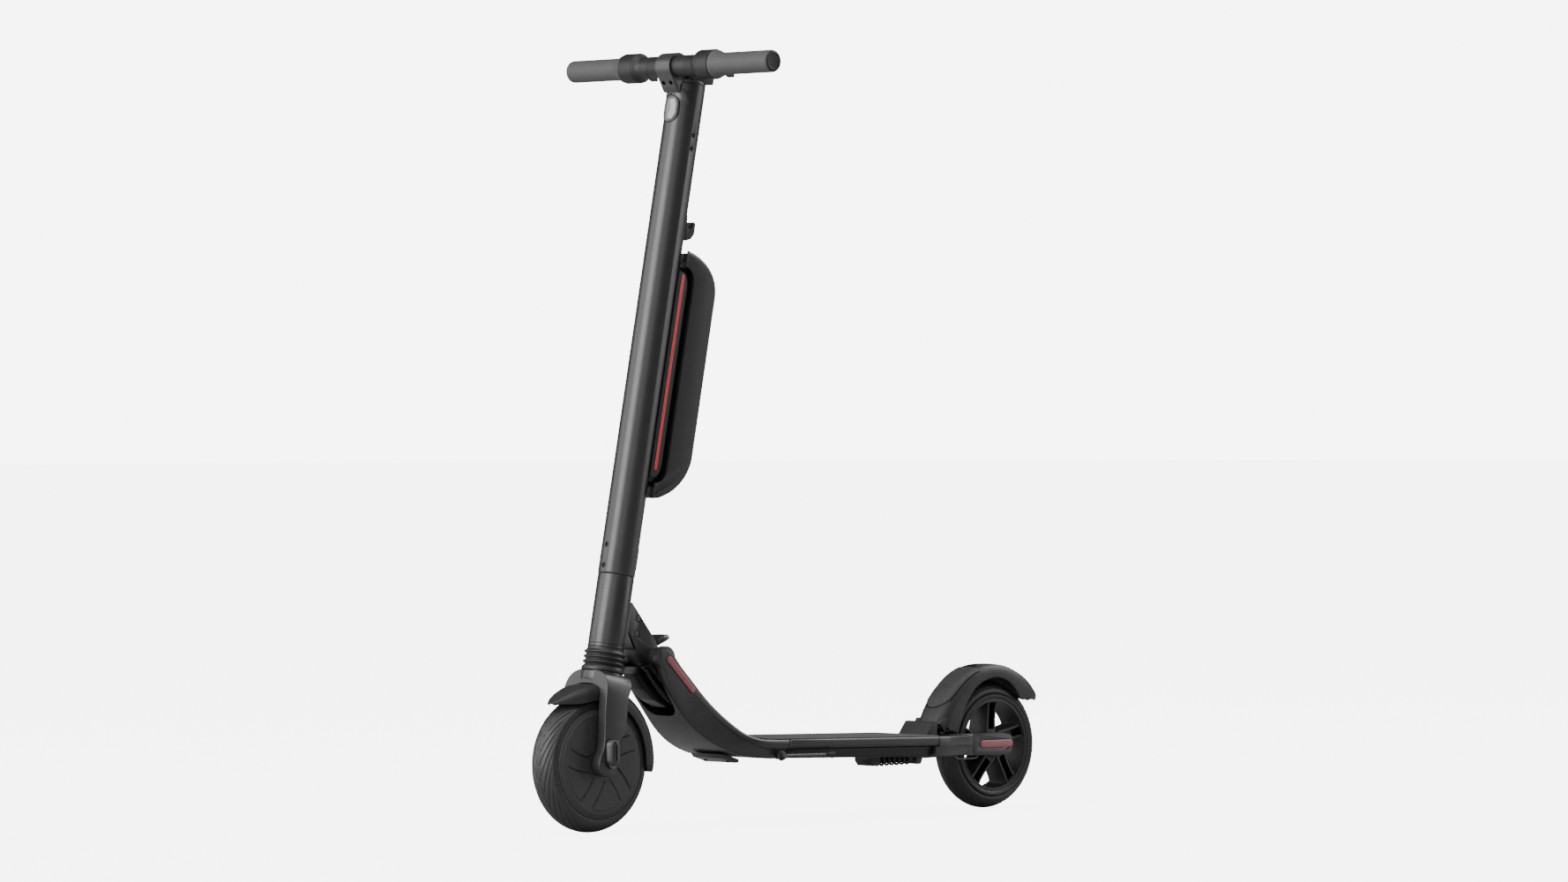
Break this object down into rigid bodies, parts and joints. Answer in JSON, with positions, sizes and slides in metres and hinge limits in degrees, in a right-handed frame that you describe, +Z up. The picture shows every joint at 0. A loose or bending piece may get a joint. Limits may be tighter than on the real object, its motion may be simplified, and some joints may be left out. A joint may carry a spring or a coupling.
{
  "type": "electric kick scooter",
  "caption": "Folding electric kick scooter with a hub-motor front wheel, stem-mounted battery pack, sprung fork and rear arm, and a foot-brake fender.",
  "frame": {"origin": "bottom centre of the bounding box, on the ground midway between the front tyre and the rear fender tail", "axes": "+X forward, +Y to the rider's left, +Z up"},
  "size_m": [1.0236, 0.43, 1.1323],
  "materials": {
    "cell_blue": "wrapped cell pack",
    "copper": "wound copper",
    "frame_black": "satin black powder coat over aluminium",
    "grip_grey": "textured mid grey rubber",
    "lens_silver": "silver grey lens",
    "mat_grey": "ribbed grey foot mat",
    "plastic_black": "matt black moulded plastic",
    "reflector_red": "dusty red reflector",
    "rubber_black": "black rubber",
    "steel": "plain steel",
    "stripe_red": "bright red inlay",
    "tyre_black": "black tyre rubber"
  },
  "bodies": {
    "deck": {"deck_frame": "frame_black", "deck_bottom_cover": "plastic_black", "deck_mat": "mat_grey", "motor_controller": "plastic_black", "skid_plate": "frame_black", "rear_nose_cover": "plastic_black", "rear_spring": "steel", "swingarm_pin": "steel", "neck_reflector_left": "reflector_red", "neck_reflector_right": "reflector_red", "fold_latch": "plastic_black", "cable_sleeve": "rubber_black"},
    "kickstand": {"kickstand_leg": "frame_black"},
    "head": {"head_block": "frame_black", "fold_hinge_pin": "steel", "headset_bearing_lower": "steel", "headset_bearing_upper": "steel"},
    "fold_pedal": {"fold_pedal": "frame_black"},
    "steer": {"steerer_tube": "steel", "stem_tube": "frame_black", "main_battery": "cell_blue", "stem_cap": "frame_black", "headlight_lens": "lens_silver", "stem_hook": "plastic_black", "pack_shell": "plastic_black", "pack_cells": "cell_blue", "pack_saddle": "plastic_black", "pack_stripe_left": "stripe_red", "pack_stripe_right": "stripe_red", "handlebar_tube": "frame_black", "grip_left": "grip_grey", "grip_right": "grip_grey", "bar_end_left": "plastic_black", "bar_end_right": "plastic_black", "throttle_housing": "plastic_black", "brake_housing": "plastic_black", "dash_housing": "plastic_black"},
    "throttle": {"throttle_lever": "plastic_black"},
    "brake": {"brake_lever": "plastic_black"},
    "power_button": {"power_button": "plastic_black"},
    "charge_cap": {"charge_cap": "rubber_black"},
    "fork": {"fork": "frame_black", "front_axle": "steel", "axle_cover_left": "frame_black", "axle_cover_right": "frame_black", "fork_spring": "steel", "bellows": "rubber_black", "front_fender": "plastic_black", "motor_stator": "copper"},
    "front_wheel": {"front_tyre": "tyre_black", "motor_shell": "plastic_black", "motor_cover": "plastic_black"},
    "swingarm": {"swingarm": "frame_black", "rear_axle": "steel", "rear_reflector_left": "reflector_red", "rear_reflector_right": "reflector_red"},
    "rear_wheel": {"rear_tyre": "tyre_black", "rear_rim": "plastic_black"},
    "rear_fender": {"rear_fender": "plastic_black", "brake_pad": "rubber_black"}
  },
  "joints": [
    {"name": "fold", "type": "hinge", "parent": "deck", "child": "head", "pos_m": [0.2998, 0, 0.25], "axis": [0, -1, 0], "range_deg": [0, 83.5]},
    {"name": "fold_pedal_press", "type": "hinge", "parent": "head", "child": "fold_pedal", "pos_m": [0.2903, 0, 0.27], "axis": [0, -1, 0], "range_deg": [0, 10], "stiffness_Nm_per_rad": 2, "springref_deg": -17.19},
    {"name": "steering", "type": "hinge", "parent": "head", "child": "steer", "pos_m": [0.4118, 0, 0.1], "axis": [-0.1977, 0, 0.9803], "range_deg": [-45, 45]},
    {"name": "fork_suspension", "type": "slide", "parent": "steer", "child": "fork", "axis": [-0.1977, 0, 0.9803], "range_m": [0, 0.012], "stiffness_N_per_m": 15000, "springref_m": -0.012, "deforming": ["fork_spring", "bellows"]},
    {"name": "front_wheel_spin", "type": "hinge", "parent": "fork", "child": "front_wheel", "pos_m": [0.4118, 0, 0.1], "axis": [0, 1, 0], "continuous": true},
    {"name": "throttle_press", "type": "hinge", "parent": "steer", "child": "throttle", "pos_m": [0.244, 0, 1.11027], "axis": [0, -1, 0], "range_deg": [0, 25], "stiffness_Nm_per_rad": 0.3, "springref_deg": -28.65},
    {"name": "brake_press", "type": "hinge", "parent": "steer", "child": "brake", "pos_m": [0.244, 0, 1.11027], "axis": [0, -1, 0], "range_deg": [0, 25], "stiffness_Nm_per_rad": 0.3, "springref_deg": -28.65},
    {"name": "power_button_press", "type": "slide", "parent": "steer", "child": "power_button", "axis": [0.1977, 0, -0.9803], "range_m": [0, 0.0015], "stiffness_N_per_m": 800, "springref_m": -0.001},
    {"name": "charge_cap_open", "type": "hinge", "parent": "steer", "child": "charge_cap", "pos_m": [0.32606, 0, 0.37549], "axis": [0, -1, 0], "range_deg": [0, 100]},
    {"name": "rear_suspension", "type": "hinge", "parent": "deck", "child": "swingarm", "pos_m": [-0.2632, 0, 0.092], "axis": [0, 1, 0], "range_deg": [0, 5], "stiffness_Nm_per_rad": 600, "springref_deg": -1.72, "deforming": ["rear_spring"]},
    {"name": "rear_wheel_spin", "type": "hinge", "parent": "swingarm", "child": "rear_wheel", "pos_m": [-0.4042, 0, 0.0967], "axis": [0, 1, 0], "continuous": true},
    {"name": "fender_brake", "type": "hinge", "parent": "swingarm", "child": "rear_fender", "pos_m": [-0.2947, 0, 0.1245], "axis": [0, -1, 0], "range_deg": [0, 4], "stiffness_Nm_per_rad": 40, "springref_deg": -2.86},
    {"name": "kickstand_swing", "type": "hinge", "parent": "deck", "child": "kickstand", "pos_m": [0.0978, 0.0745, 0.101], "axis": [0, -0.9659, -0.2588], "range_deg": [0, 75]}
  ]
}
